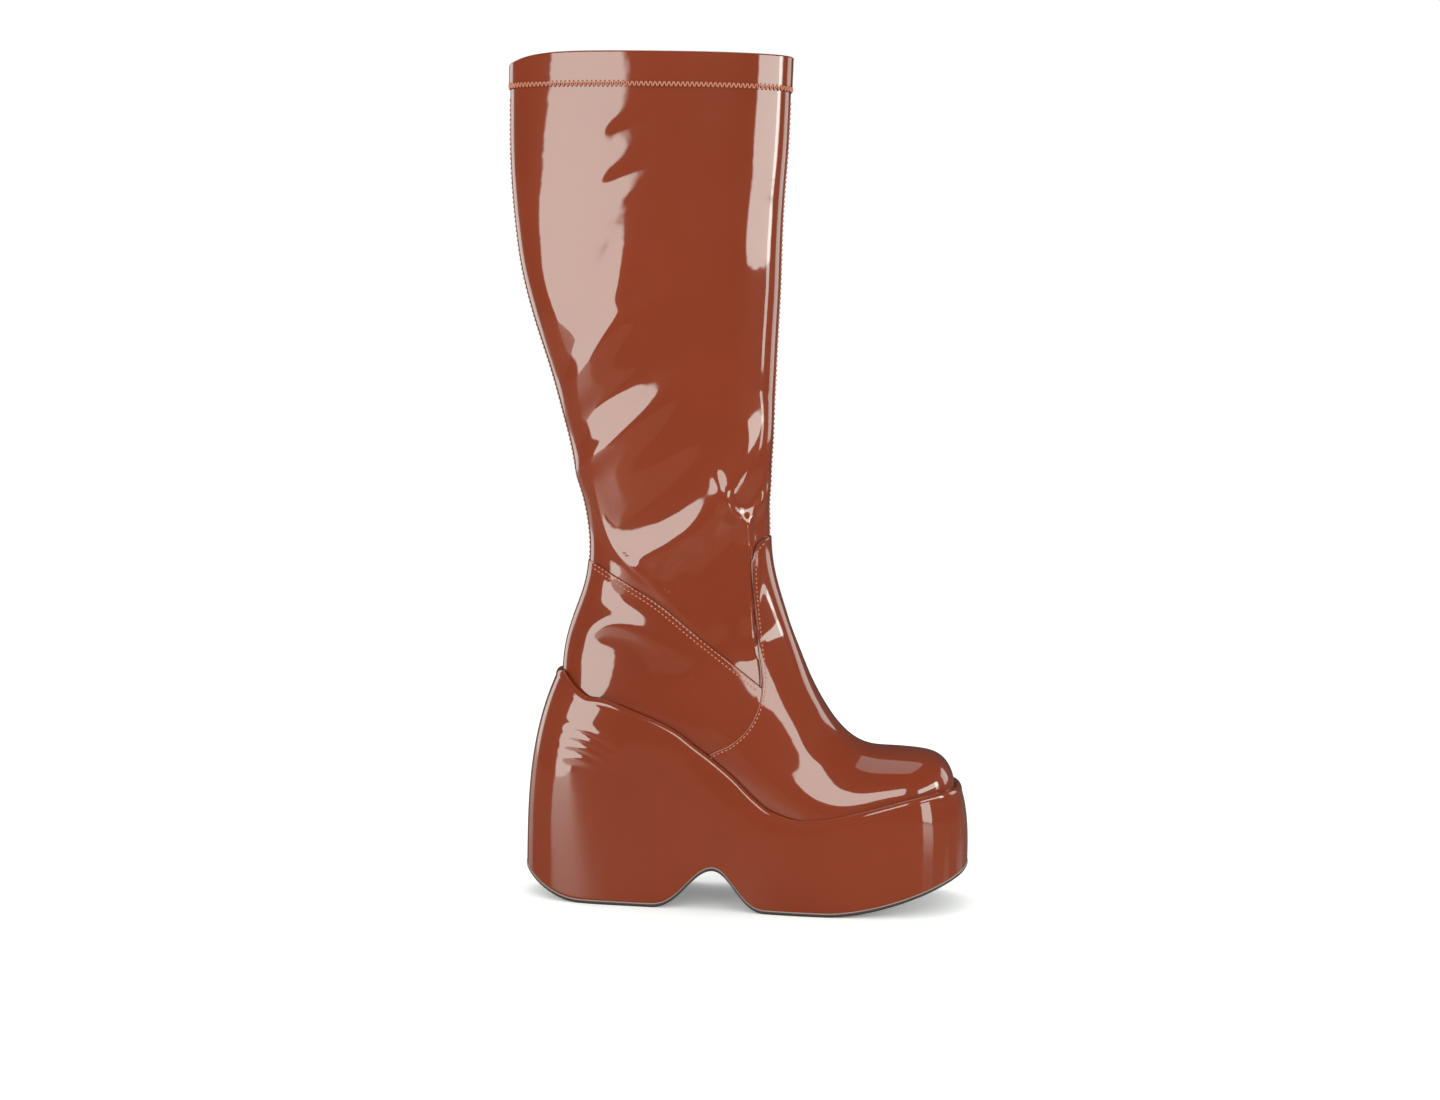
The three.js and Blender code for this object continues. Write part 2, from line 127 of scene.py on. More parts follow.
# Sections of the foot from toe to heel, of the heel up to the ankle, and of the shaft up to the collar.
foot_sections = table(
    ("sole", "top", "low", "rise", "outer", "inner", "shift", "widest", "crown", "base"),
    (1.0, 1.0, -0.02, 0.075, 0.05, 0.05, 0.12, 0.5, 2.2, 2.2),
    (0.9985, 0.9975, -0.05, 0.122, 0.36, 0.36, 0.12, 0.5, 2.6, 3),
    (0.991, 0.989, -0.05, 0.157, 0.53, 0.53, 0.115, 0.44, 2.5, 4),
    (0.975, 0.975, -0.05, 0.193, 0.67, 0.66, 0.105, 0.38, 2.4, 5),
    (0.95, 0.95, -0.05, 0.217, 0.79, 0.77, 0.09, 0.33, 2.3, 5),
    (0.911, 0.911, -0.05, 0.223, 0.89, 0.87, 0.07, 0.29, 2.2, 5),
    (0.852, 0.8565, -0.05, 0.23, 0.965, 0.95, 0.045, 0.27, 2.15, 5),
    (0.757, 0.794, -0.05, 0.233, 1.0, 1.0, 0.015, 0.26, 2.1, 5),
    (0.653, 0.74, -0.05, 0.265, 1.0, 0.98, 0.0, 0.26, 2.1, 5),
    (0.549, 0.697, -0.05, 0.325, 0.95, 0.87, 0.0, 0.3, 2.25, 5),
    (0.437, 0.66, -0.05, 0.403, 0.86, 0.76, 0.0, 0.36, 2.5, 5),
    (0.312, 0.6305, -0.05, 0.482, 0.8, 0.73, 0.0, 0.4, 2.5, 5),
    (0.187, 0.608, -0.05, 0.559, 0.755, 0.72, 0.0, 0.4, 2.45, 4.5),
    (0.079, 0.5895, -0.05, 0.624, 0.725, 0.72, 0.0, 0.42, 2.4, 4),
    (0.0, 0.575, -0.05, 0.676, 0.7, 0.7, 0.0, 0.46, 2.3, 3),
)
heel_sections = table(
    ("height", "forward", "top", "rise", "width", "widest", "crown"),
    (0.18, 0.0, 0.5605, 0.739, 0.985, 0.52, 2.25),
    (0.38, 0.13, 0.545, 0.806, 0.97, 0.58, 2.2),
    (0.595, 0.49, 0.5305, 0.885, 0.96, 0.58, 2.2),
    (0.81, 0.894, 0.5225, 0.97, 0.95, 0.54, 2.2),
)
shaft_sections = table(
    ("back", "front", "back_sweep", "front_sweep", "width"),
    (0.01, 0.07, 0.0, -0.06, 0.0),
    (0.075, 0.125, 0.035, -0.2, 0.25),
    (0.16, 0.19, 0.17, -0.1, 0.55),
    (0.26, 0.285, 0.308, 0.06, 0.87),
    (0.368, 0.385, 0.48, 0.19, 1.1),
    (0.485, 0.495, 0.705, 0.32, 1.37),
    (0.602, 0.61, 0.878, 0.45, 1.37),
    (0.719, 0.725, 0.962, 0.6, 1.25),
    (0.836, 0.84, 0.992, 0.86, 1.12),
    (0.933, 0.936, 0.998, 0.9, 1.0),
    (1.0, 1.0, 1.0, 1.0, 1.0),
)
shaft_squareness = 2.15

# Edges seen from the side: how far along, a share of the last, and how high, of the instep height.
vamp_edge = (
    (0.56, 1.02), (0.53, 1.012), (0.505, 0.997), (0.487, 0.97), (0.478, 0.935), (0.477, 0.9),
    (0.482, 0.82), (0.493, 0.71), (0.504, 0.605), (0.514, 0.52), (0.515, 0.455), (0.508, 0.395),
    (0.492, 0.34), (0.469, 0.295), (0.435, 0.255), (0.39, 0.22), (0.3, 0.1),
)
counter_edge = (
    (-0.1, 0.96), (0.066, 0.905), (0.11, 0.883), (0.181, 0.827), (0.259, 0.758),
    (0.335, 0.671), (0.412, 0.583), (0.475, 0.514), (0.56, 0.42),
)


def lerp(a, b, t):
    return a + (b - a) * t


def smoothstep(low, high, x):
    t = np.clip((x - low) / (high - low), 0.0, 1.0)
    return t * t * (3 - 2 * t)


def smooth_through(xs, ys):
    """A smooth curve through points that rise in x, with no overshoot between them."""
    xs, ys = np.array(xs, float), np.array(ys, float)
    slopes = np.diff(ys) / np.diff(xs)
    before, after = slopes[:-1], slopes[1:]
    same_way = before * after > 0
    inner = np.where(same_way, 2 * before * after / np.where(same_way, before + after, 1.0), 0.0)
    tangents = np.concatenate([slopes[:1], inner, slopes[-1:]])

    def curve(x):
        x = np.asarray(x, float)
        i = np.clip(np.searchsorted(xs, x, side="right") - 1, 0, len(xs) - 2)
        width = xs[i + 1] - xs[i]
        t = np.clip((x - xs[i]) / width, 0, 1)
        rest = 1 - t
        ends = rest * rest * (1 + 2 * t) * ys[i] + t * t * (3 - 2 * t) * ys[i + 1]
        return ends + width * t * rest * (rest * tangents[i] - t * tangents[i + 1])

    return curve


pitch_level = smooth_through(*zip(*pitch_shape))
pitch_end = 0.62


def feather_height(x):
    along = np.clip((np.asarray(x, float) - last_setback) / last_length, 0, 1)
    level = lerp(ball_height, heel_seat_height, pitch_level(along))
    return level + smoothstep(pitch_end, 1.0, along) * toe_lift


def rim_height(x):
    near = np.clip(1 - (np.asarray(x, float) - last_setback) / heel_cup_length, 0, 1)
    return feather_height(x) + heel_cup_rise * near**heel_cup_curve


def seat_height(x):
    return feather_height(x) - rim_cover


def floor_height(x):
    x = np.asarray(x, float)
    bevel = heel_bevel_rise * np.clip(1 - x / heel_bevel_length, 0, None) ** 2
    past = np.clip(x - (sole_length - toe_spring_length), 0, None)
    spring = toe_spring_rise * (past / toe_spring_length) ** toe_spring_curve
    climb = (x - arch_back) / (arch_crown - arch_back)
    fall = (arch_front - x) / (arch_front - arch_crown)
    share = np.clip(np.minimum(climb, fall), 0, 1)
    arch = arch_height * ((1 - np.cos(np.pi * share)) / 2) ** arch_sharpness
    return bevel + spring + arch


# A section runs from a back point to a front point of the side view, with its two half widths, its
# shift to the inner side, where it is widest, and the powers of its crown and its base.
def front_point(row):
    return (last_setback + row["top"] * last_length, ball_height + row["rise"] * instep_height)


def foot_section(row):
    x = last_setback + row["sole"] * last_length
    half = ball_width / 2
    back = (x, float(seat_height(x)) + row["low"] * instep_height)
    sides = (row["outer"] * half, row["inner"] * half, row["shift"] * half)
    return (*back, *front_point(row), *sides, row["widest"], row["crown"], row["base"])


def heel_section(row):
    half = row["width"] * heel_width / 2
    x = last_setback + row["forward"] * ankle_setback
    back = (x, heel_seat_height + row["height"] * ankle_height)
    shape = (half, half, 0.0, row["widest"], row["crown"], shaft_squareness)
    return (*back, *front_point(row), *shape)


def shaft_section(row):
    x, z = last_setback + ankle_setback, heel_seat_height + ankle_height
    front_reach = collar_depth - collar_sweep - ankle_depth
    half = lerp(ankle_width, collar_width, row["width"]) / 2
    back = (x - row["back_sweep"] * collar_sweep, lerp(z, boot_height, row["back"]))
    front_x = x + ankle_depth + row["front_sweep"] * front_reach
    front = (front_x, lerp(z, boot_height, row["front"]))
    return (*back, *front, half, half, 0.0, 0.5, shaft_squareness, shaft_squareness)


sections = np.array(
    [foot_section(row) for row in foot_sections]
    + [heel_section(row) for row in heel_sections]
    + [shaft_section(row) for row in shaft_sections]
)
last_place = len(sections) - 1
section_curves = [smooth_through(range(len(sections)), sections[:, k]) for k in range(10)]


def last_rings(places, angles):
    """Points of the last, a ring for each place from toe to collar. Angle 0 is the front."""
    places, angles = np.asarray(places, float)[:, None], np.asarray(angles, float)[None, :]
    back_x, back_z, front_x, front_z, outer, inner, shift, widest, crown, base = (
        curve(places) for curve in section_curves
    )
    c, side = np.cos(angles), np.sin(angles)
    power = 2 / np.where(c >= 0, crown, base)
    reach = np.abs(c) ** power
    t = np.where(c >= 0, lerp(widest, 1.0, reach), lerp(widest, 0.0, reach))
    half = np.where(side >= 0, -outer, inner)
    dip = collar_dip * (places / last_place) ** collar_dip_depth * np.clip(-c, 0, 1) ** collar_dip_spread
    x = lerp(back_x, front_x, t)
    y = shift + half * np.abs(side) ** power
    z = lerp(back_z, front_z, t) - dip
    return np.stack([x, y + 0 * x, z], axis=-1)


def gaussian(sigma):
    reach = int(math.ceil(3 * sigma))
    weights = np.exp(-0.5 * (np.arange(-reach, reach + 1) / sigma) ** 2)
    return reach, weights / weights.sum()


def soften_rows(grid, sigma):
    """Smooths along the rows and keeps the first and last ring where they are."""
    reach, weights = gaussian(sigma)
    before = 2 * grid[:1] - grid[reach:0:-1]
    after = 2 * grid[-1:] - grid[-2 : -reach - 2 : -1]
    padded = np.concatenate([before, grid, after])
    return sum(w * padded[k : k + len(grid)] for k, w in enumerate(weights))


def soften_round(grid, sigma, axis):
    reach, weights = gaussian(sigma)
    return sum(w * np.roll(grid, k - reach, axis=axis) for k, w in enumerate(weights))


def make_last_grid():
    """The last as an even grid of points, softened so that gloss runs over it without a kink."""
    dense = np.linspace(0, last_place, dense_rows)
    coarse = last_rings(dense, np.linspace(0, 2 * np.pi, coarse_columns, endpoint=False))
    moved = np.linalg.norm(np.diff(coarse, axis=0), axis=-1).mean(axis=1)
    travelled = np.concatenate([[0], np.cumsum(moved)])
    places = np.interp(np.linspace(0, travelled[-1], last_rows), travelled, dense)
    angles = np.linspace(0, 2 * np.pi, last_columns, endpoint=False)
    grid = soften_rows(last_rings(places, angles), soft_along)
    return soften_round(grid, soft_around, 1)


last_grid = make_last_grid()


def travel(line):
    """How far along a polyline each of its points lies."""
    return np.concatenate([[0], np.cumsum(np.linalg.norm(np.diff(line, axis=0), axis=1))])


def cubic_weights(t):
    return (
        -0.5 * t + t * t - 0.5 * t**3,
        1 - 2.5 * t * t + 1.5 * t**3,
        0.5 * t + 2 * t * t - 1.5 * t**3,
        -0.5 * t * t + 0.5 * t**3,
    )


def on_last(u, v):
    """Points of the last's surface between the grid's own, u along the rows and v round them."""
    u, v = np.asarray(u, float), np.asarray(v, float)
    i = np.clip(np.floor(u).astype(int), 0, last_rows - 2)
    j = np.floor(v).astype(int)
    rows, columns = cubic_weights(u - i), cubic_weights(v - j)
    total = 0
    for a, row_weight in enumerate(rows):
        ii = np.clip(i + a - 1, 0, last_rows - 1)
        for b, column_weight in enumerate(columns):
            jj = (j + b - 1) % last_columns
            total = total + (row_weight * column_weight)[..., None] * last_grid[ii, jj]
    return total


def normal_on_last(u, v):
    step = 0.5
    u = np.asarray(u, float)
    low, high = np.clip(u - step, 0, last_rows - 1), np.clip(u + step, 0, last_rows - 1)
    along = on_last(high, v) - on_last(low, v)
    around = on_last(u, np.asarray(v) + step) - on_last(u, np.asarray(v) - step)
    normal = np.cross(along, around)
    return normal / np.maximum(np.linalg.norm(normal, axis=-1, keepdims=True), tiny)


# Curves in the side view.
def spline(points, per_span=8):
    """A smooth polyline through points, Catmull-Rom."""
    points = np.array(points, float)
    padded = np.concatenate([2 * points[:1] - points[1:2], points, 2 * points[-1:] - points[-2:-1]])
    steps = np.linspace(0, 1, per_span, endpoint=False)
    spans = []
    for k in range(len(points) - 1):
        weights = cubic_weights(steps)
        spans.append(sum(w[:, None] * padded[k + n] for n, w in enumerate(weights)))
    return np.concatenate(spans + [points[-1:]])


def edge_line(shares):
    start, span = np.array([last_setback, ball_height]), np.array([last_length, instep_height])
    return spline(start + np.array(shares) * span, per_span=6)


vamp_line = edge_line(vamp_edge)
counter_line = edge_line(counter_edge)


def to_line(points, line):
    """Distance from each point of the side view to a line, how far along it the nearest place is,
    from 0 to 1, and on which side of the line the point lies, 1 to the left of its run."""
    starts, spans = line[:-1], np.diff(line, axis=0)
    lengths = np.maximum(np.linalg.norm(spans, axis=1), tiny)
    travelled = np.concatenate([[0], np.cumsum(lengths)])
    best = np.full(len(points), np.inf)
    along = np.zeros(len(points))
    side = np.ones(len(points))
    for k in range(len(spans)):
        away = points - starts[k]
        t = np.clip(away @ spans[k] / lengths[k] ** 2, 0, 1)
        gap = away - t[:, None] * spans[k]
        distance = np.hypot(gap[:, 0], gap[:, 1])
        nearer = distance < best
        best = np.where(nearer, distance, best)
        along = np.where(nearer, travelled[k] + t * lengths[k], along)
        turn = spans[k][0] * away[:, 1] - spans[k][1] * away[:, 0]
        side = np.where(nearer, np.sign(turn), side)
    return best, along / travelled[-1], np.where(side == 0, 1, side)


def side_view(points):
    return points[:, [0, 2]]


def inside_vamp(points):
    """Distance into the vamp from its edge, in the side view, negative behind it."""
    distance, _, side = to_line(side_view(points), vamp_line)
    return distance * side


def inside_counter(points):
    """Distance into the heel counter from its top edge, negative above it."""
    distance, _, side = to_line(side_view(points), counter_line)
    return -distance * side


def inside_band(points):
    return points[:, 2] - (boot_height - band_height)


def above_seat(points):
    return points[:, 2] - seat_height(points[:, 0])


def over_rim(points, below=3):
    return points[:, 2] > rim_height(points[:, 0]) - below


# Folds: soft ridges and troughs over the ankle and calf, through points of the side view. side is -1
# on the outer side and 1 on the inner. height is how far it stands out, and width its softness.
folds = []


def fold(side, height, width, *points):
    folds.append((side, height, width, spline(points)))


# The long ridge up the calf, and a faint one in front of it.
fold(-1, 1.1, 6.0, (7, 264), (20, 282), (36, 309), (50, 347), (62, 393), (67, 420))
fold(-1, 0.9, 5.0, (16, 296), (43, 336), (71, 360), (105, 374))
# Forward and up from the back of the ankle: a trough, and the crest under it.
fold(-1, -0.9, 5.0, (7, 261), (30, 291), (62, 314), (94, 334))
fold(-1, 1.9, 5.5, (-8, 207), (25, 253), (57, 282), (80, 302), (105, 328))
# Across the ankle: a trough, the crest under it, and a notch in that.
fold(-1, -0.8, 6.0, (50, 227), (76, 244), (101, 266), (119, 284))
fold(-1, 5.0, 9.0, (53, 191), (74, 208), (91, 218), (108, 231), (124, 252), (139, 279), (150, 306))
fold(-1, -1.3, 3.5, (85, 190), (95, 206), (102, 222))
# A pinch down the front of the ankle, forked at the top, and the long diagonal from its back.
fold(-1, 3.0, 3.0, (113, 264), (122, 242), (132, 231), (135, 210), (136, 186), (138, 150))
fold(-1, 2.2, 2.8, (151, 269), (143, 248), (134, 232), (132, 219))
fold(-1, 1.3, 2.3, (37, 262), (50, 223), (67, 204), (90, 184), (111, 162))
# Two ripples on the calf, and the swell of the heel counter.
fold(-1, -0.6, 4.0, (47, 454), (56, 463), (78, 471))
fold(-1, -0.6, 4.0, (43, 425), (54, 434), (79, 446))
fold(-1, 1.8, 5.5, (32, 159), (53, 170), (77, 164), (103, 144))
# The swell of the vamp over the rim.
fold(-1, 1.9, 8.0, (104, 140), (125, 111), (150, 82), (185, 60), (224, 55), (259, 71))
# The inner side creases much as the outer does.
fold(1, 2.2, 8.5, (38, 262), (62, 280), (90, 300), (116, 314))
fold(1, 2.5, 9.0, (60, 206), (86, 218), (114, 240), (138, 262))
fold(1, -1.2, 7.0, (74, 204), (100, 224), (128, 246))
fold(1, 0.9, 4.0, (46, 232), (70, 200), (104, 164))


def drape(points):
    """The slow waves of a thin shaft that stands by itself, fading out over the stiff foot."""
    wave_height, stiff_below, thin_above = 0.14, 150, 260
    x, z = points[:, 0], points[:, 2]
    rising = np.sin(z / 17.0 + x / 31.0)
    falling = np.sin(z / 27.0 - x / 23.0 + 1.7)
    ripples = 0.6 * np.sin(z / 9.5 + 2.1 * np.sin(x / 24.0))
    return wave_height * (rising + falling + ripples) * smoothstep(stiff_below, thin_above, z)


def fold_height(points):
    """How far the folds lift the last, each fading at its ends and past the middle of the boot."""
    widths_reached, taper_power, fade_start, fade_end = 3.2, 0.8, -6.0, 14.0
    total = drape(points)
    flat = side_view(points)
    for side, height, width, line in folds:
        reach = widths_reached * width
        low, high = line.min(axis=0) - reach, line.max(axis=0) + reach
        near = np.all((flat > low) & (flat < high), axis=1)
        if not near.any():
            continue
        distance, along, _ = to_line(flat[near], line)
        taper = np.sin(np.pi * np.clip(along, 0, 1)) ** taper_power
        this_side = smoothstep(fade_start, fade_end, side * points[near, 1])
        bump = np.exp(-0.5 * (distance / width) ** 2)
        total[near] += height * bump * taper * this_side
    return total


# Materials.
class Nodes:
    """The nodes of a material, light or world. Sockets are named with _ for a space, and each is given
    a plain value or another socket."""

    def __init__(self, owner):
        owner.use_nodes = True
        self.owner = owner
        self.tree = owner.node_tree

    def give(self, socket, value):
        if isinstance(value, bpy.types.NodeSocket):
            self.tree.links.new(value, socket)
        else:
            socket.default_value = value

    def put(self, node, **values):
        for name, value in values.items():
            self.give(node.inputs[name.replace("_", " ")], value)
        return node

    def add(self, kind, **values):
        return self.put(self.tree.nodes.new("ShaderNode" + kind), **values)

    def finish(self, **values):
        self.put(self.tree.nodes["Principled BSDF"], **values)
        return self.owner

    def math(self, operation, *values):
        node = self.add("Math")
        node.operation = operation
        for socket, value in zip(node.inputs, values):
            self.give(socket, value)
        return node.outputs["Value"]

    def stored(self, name):
        """A value stored on the mesh's points."""
        node = self.add("Attribute")
        node.attribute_name = name
        return node.outputs["Fac"]

    def place(self):
        return self.add("TexCoord").outputs["Object"]

    def noise(self, scale, detail=3.0):
        return self.add("TexNoise", Vector=self.place(), Scale=scale, Detail=detail).outputs["Fac"]

    def ramp(self, source, *stops):
        node = self.add("ValToRGB", Fac=source)
        elements = node.color_ramp.elements
        while len(elements) < len(stops):
            elements.new(0.5)
        for element, (position, colour) in zip(elements, stops):
            element.position = position
            element.color = colour
        return node.outputs["Color"]

    def mix(self, share, first, second):
        node = self.add("Mix")
        node.data_type = "RGBA"
        return self.put(node, Factor=share, A=first, B=second).outputs["Result"]

    def bump(self, height, strength, distance, **under):
        node = self.add("Bump", Height=height, Strength=strength, Distance=distance, **under)
        return node.outputs["Normal"]


def linear(red, green, blue):
    """A colour read off the photo, 0 to 255, as the shader needs it."""

    def channel(value):
        share = value / 255
        return share / 12.92 if share <= 0.04045 else ((share + 0.055) / 1.055) ** 2.4

    return (channel(red), channel(green), channel(blue), 1.0)


def patent_material():
    """Coated leather: one rust colour with faint clouds, painted shade along the seams and the panels'
    edges, a soft base gloss and a hard clear coat.
    """
    look = Nodes(bpy.data.materials.new("patent_leather"))
    dark, pale, painted_seam_shade_colour = linear(123, 46, 17), linear(131, 50, 21), linear(58, 22, 14)
    colour = look.ramp(look.noise(9.0), (0.3, dark), (0.7, pale))
    peel, grain = look.noise(55.0, 2.0), look.noise(900.0, 2.0)
    rough = look.bump(grain, 0.04, 0.0002)
    return look.finish(
        # The seam share stored on the mesh mixes in the painted shade of the seams' creases.
        Base_Color=look.mix(look.stored("seam"), colour, painted_seam_shade_colour),
        Roughness=0.32,
        Specular_IOR_Level=0.12,
        Coat_Weight=1.0,
        Coat_Roughness=0.04,
        Coat_IOR=2.0,
        Normal=look.bump(peel, 0.05, 0.002, Normal=rough),
        Coat_Normal=look.bump(peel, 0.05, 0.002),
    )


def thread_material():
    """Pale thread, with painted shade where it dips into its holes."""
    look = Nodes(bpy.data.materials.new("sewing_thread"))
    # The dark end colour is painted shade in the needle holes.
    hole, top = linear(44, 18, 12), linear(196, 124, 98)
    colour = look.ramp(look.stored("depth"), (0.1, hole), (0.6, top))
    fibres = look.bump(look.noise(1500.0), 0.3, 0.0003)
    return look.finish(Base_Color=colour, Roughness=0.45, Normal=fibres)


def lining_material():
    look = Nodes(bpy.data.materials.new("woven_lining"))
    weave = look.noise(700.0)
    colour = look.ramp(weave, (0.35, linear(52, 40, 34)), (0.65, linear(74, 58, 49)))
    return look.finish(Base_Color=colour, Roughness=0.85, Normal=look.bump(weave, 0.3, 0.0005))


def rubber_material():
    """Dark rubber with a paler line along its top, from the level stored on the mesh."""
    look = Nodes(bpy.data.materials.new("sole_rubber"))
    dark, middle, pale = linear(62, 52, 48), linear(74, 62, 57), linear(150, 132, 124)
    colour = look.ramp(look.stored("level"), (0.0, dark), (0.7, middle), (0.82, pale))
    rough = look.bump(look.noise(600.0), 0.2, 0.0004)
    ribs = look.add("TexWave", Vector=look.place(), Scale=60.0, Distortion=1.0).outputs["Fac"]
    ribbed = look.bump(ribs, 0.25, 0.0006, Normal=rough)
    return look.finish(Base_Color=colour, Roughness=0.6, Normal=ribbed)


patent = patent_material()
thread = thread_material()
lining = lining_material()
rubber = rubber_material()


# Meshes.
def to_frame(points):
    points = np.array(points, float)
    points[:, 0] -= heel_rest_setback
    return points / MM


def add_piece(name, points, faces, material, nodes=(), attributes=None):
    """A smooth mesh that rides on the boot and stands for the named solids."""
    mesh = bpy.data.meshes.new(name)
    mesh.from_pydata(to_frame(points).tolist(), [], [list(map(int, face)) for face in faces])
    for key, values in (attributes or {}).items():
        layer = mesh.attributes.new(key, "FLOAT", "POINT")
        layer.data.foreach_set("value", np.array(values, np.float32))
    mesh.polygons.foreach_set("use_smooth", [True] * len(mesh.polygons))
    mesh.materials.append(material)
    mesh.validate()
    piece = bpy.data.objects.new(name, mesh)
    bpy.context.collection.objects.link(piece)
    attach(piece, "root")
    if nodes:
        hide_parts(*nodes)


class Sheet:
    """Part of the last's surface as polygons over the grid's own u and v."""

    def __init__(self, keep):
        u = np.arange(last_rows, dtype=float)
        v = np.arange(last_columns + 1, dtype=float)
        self.uv = np.stack(np.meshgrid(u, v, indexing="ij"), axis=-1).reshape(-1, 2)
        width = last_columns + 1
        corner = (np.arange(last_rows - 1)[:, None] * width + np.arange(last_columns)[None, :]).ravel()
        quads = np.stack([corner, corner + width, corner + width + 1, corner + 1], axis=1)
        kept = keep(self.points())
        self.faces = quads[kept[quads].any(axis=1)].tolist()
        self.drop_unused()

    def points(self):
        return on_last(self.uv[:, 0], self.uv[:, 1])

    def drop_unused(self):
        used = np.unique(np.concatenate([np.array(face) for face in self.faces]))
        renumber = np.full(len(self.uv), -1)
        renumber[used] = np.arange(len(used))
        self.uv = self.uv[used]
        self.faces = [[int(renumber[i]) for i in face] for face in self.faces]

    def split(self, field, *levels):
        """Adds vertices where the field passes each level, so that an edge can follow it."""
        near = 0.02
        for level in levels:
            values = list(field(self.points()) - level)
            uv = self.uv.tolist()
            made = {}
            faces = []

            def crossing(a, b):
                key = (min(a, b), max(a, b))
                if key not in made:
                    t = values[a] / (values[a] - values[b])
                    made[key] = len(uv)
                    uv.append([lerp(uv[a][0], uv[b][0], t), lerp(uv[a][1], uv[b][1], t)])
                return made[key]

            for i, value in enumerate(values):
                if abs(value) < near:
                    values[i] = 0.0
            for face in self.faces:
                signs = [values[i] for i in face]
                if min(signs) >= 0 or max(signs) <= 0:
                    faces.append(face)
                    continue
                over, under = [], []
                for a, b in zip(face, face[1:] + face[:1]):
                    if values[a] >= 0:
                        over.append(a)
                    if values[a] <= 0:
                        under.append(a)
                    if values[a] * values[b] < 0:
                        middle = crossing(a, b)
                        over.append(middle)
                        under.append(middle)
                faces += [part for part in (over, under) if len(part) > 2]
            self.uv = np.array(uv)
            self.faces = faces
        return self

    def trim(self, field, level=0.0):
        """Keeps the side where the field is above the level."""
        self.split(field, level)
        values = field(self.points())
        self.faces = [face for face in self.faces if np.mean([values[i] for i in face]) > level]
        self.drop_unused()
        return self

    def mesh(self, name, offset, material, slot, nodes=(), flip=False, attributes=None):
        """offset gives how far each point stands off the last. The grid's two ends are joined."""
        base = self.points()
        points = base + normal_on_last(self.uv[:, 0], self.uv[:, 1]) * offset(base)[:, None]
        key = np.round(np.stack([self.uv[:, 0], self.uv[:, 1] % last_columns], axis=1), 6)
        _, first, back = np.unique(key, axis=0, return_index=True, return_inverse=True)
        back = back.ravel()
        faces = []
        for face in self.faces:
            ids = [int(back[i]) for i in face]
            ids = [a for a, b in zip(ids, ids[1:] + ids[:1]) if a != b]
            if len(ids) > 2:
                faces.append(ids if flip else ids[::-1])
        extra = {k: f(base)[first] for k, f in (attributes or {}).items()}
        add_piece(name, points[first], faces, material, nodes, extra)


# Panels: how far their edges are rounded and sunk, the lines across a seam and an edge where the mesh
# is cut fine, how far past a cut the sheet is kept before it is trimmed, and how deep the upper
# reaches into the sole.
edge_radius = 1.1
edge_sink = 0.15
seam_levels = (-1.6, -0.8, -0.3, 0.0, 0.3, 0.8, 1.6)
edge_levels = (0.12, 0.35, 0.7, 1.1, 1.6)
trim_margin = 3.0
lasted_depth = 1.0
counter_overlap = 0.5

# Seams: depth and width of the groove along the middle and behind the vamp, and how dark and how wide
# the line of painted shade in each is.
middle_groove_depth, middle_groove_width = 0.45, 0.8
vamp_groove_depth, vamp_groove_width, vamp_groove_setback = 0.25, 0.7, 0.3
vamp_line_shade, vamp_line_width = 0.9, 0.55
counter_line_shade, counter_line_width = 0.4, 0.5
middle_line_shade, middle_line_width = 0.7, 0.4
panel_line_width = 0.3
throat_along = 0.45
seam_below_rim = 5


def hump(distance, width):
    return np.exp(-((distance / width) ** 2))


def raised_edge(distance, thickness):
    """A panel's height over what it lies on, rounded at its edge and sunk a little just outside."""
    t = np.clip(distance / edge_radius, 0, 1)
    return thickness * np.sqrt(1 - (1 - t) ** 2) - edge_sink * (1 - t) ** 4


def painted_seam_shade(points):
    """How dark the painted shade in the line of each seam is: along the panels' edges and the two long
    seams.
    """
    into_vamp = inside_vamp(points)
    vamp = vamp_line_shade * hump(into_vamp, vamp_line_width)
    counter = counter_line_shade * hump(inside_counter(points), counter_line_width) * (into_vamp < 0)
    middle = middle_line_shade * hump(points[:, 1], middle_line_width) * long_seams(points)
    return np.clip(vamp + counter + middle, 0, 1)


def long_seams(points):
    """1 where the front seam and the back seam run, over the shaft and down the heel."""
    ahead = points[:, 0] > last_setback + throat_along * last_length
    shaft = inside_vamp(points) < 0
    return np.where(ahead, shaft * 1.0, 1.0) * over_rim(points, seam_below_rim)


def base_height(points):
    """The upper's own surface over the last: folds, and grooves along the seams."""
    middle = middle_groove_depth * hump(points[:, 1], middle_groove_width) * long_seams(points)
    beside = vamp_groove_depth * hump(inside_vamp(points) + vamp_groove_setback, vamp_groove_width)
    return fold_height(points) - middle - beside


def plane_gap(points):
    return points[:, 1]


shell = Sheet(lambda p: above_seat(p) > -lasted_depth)
shell.split(plane_gap, *seam_levels)
shell.split(inside_vamp, -1.8, -0.9, -0.4, 0.0)
shell.split(inside_counter, -0.8, 0.0)
# The upper carries painted shade along its seams.
shell.mesh("upper_shell", base_height, patent, "patent", ("upper",), attributes={"seam": painted_seam_shade})

inside = Sheet(lambda p: above_seat(p) > -lasted_depth)
inside.mesh("upper_lining", lambda p: fold_height(p) - upper_wall, lining, "lining", flip=True)


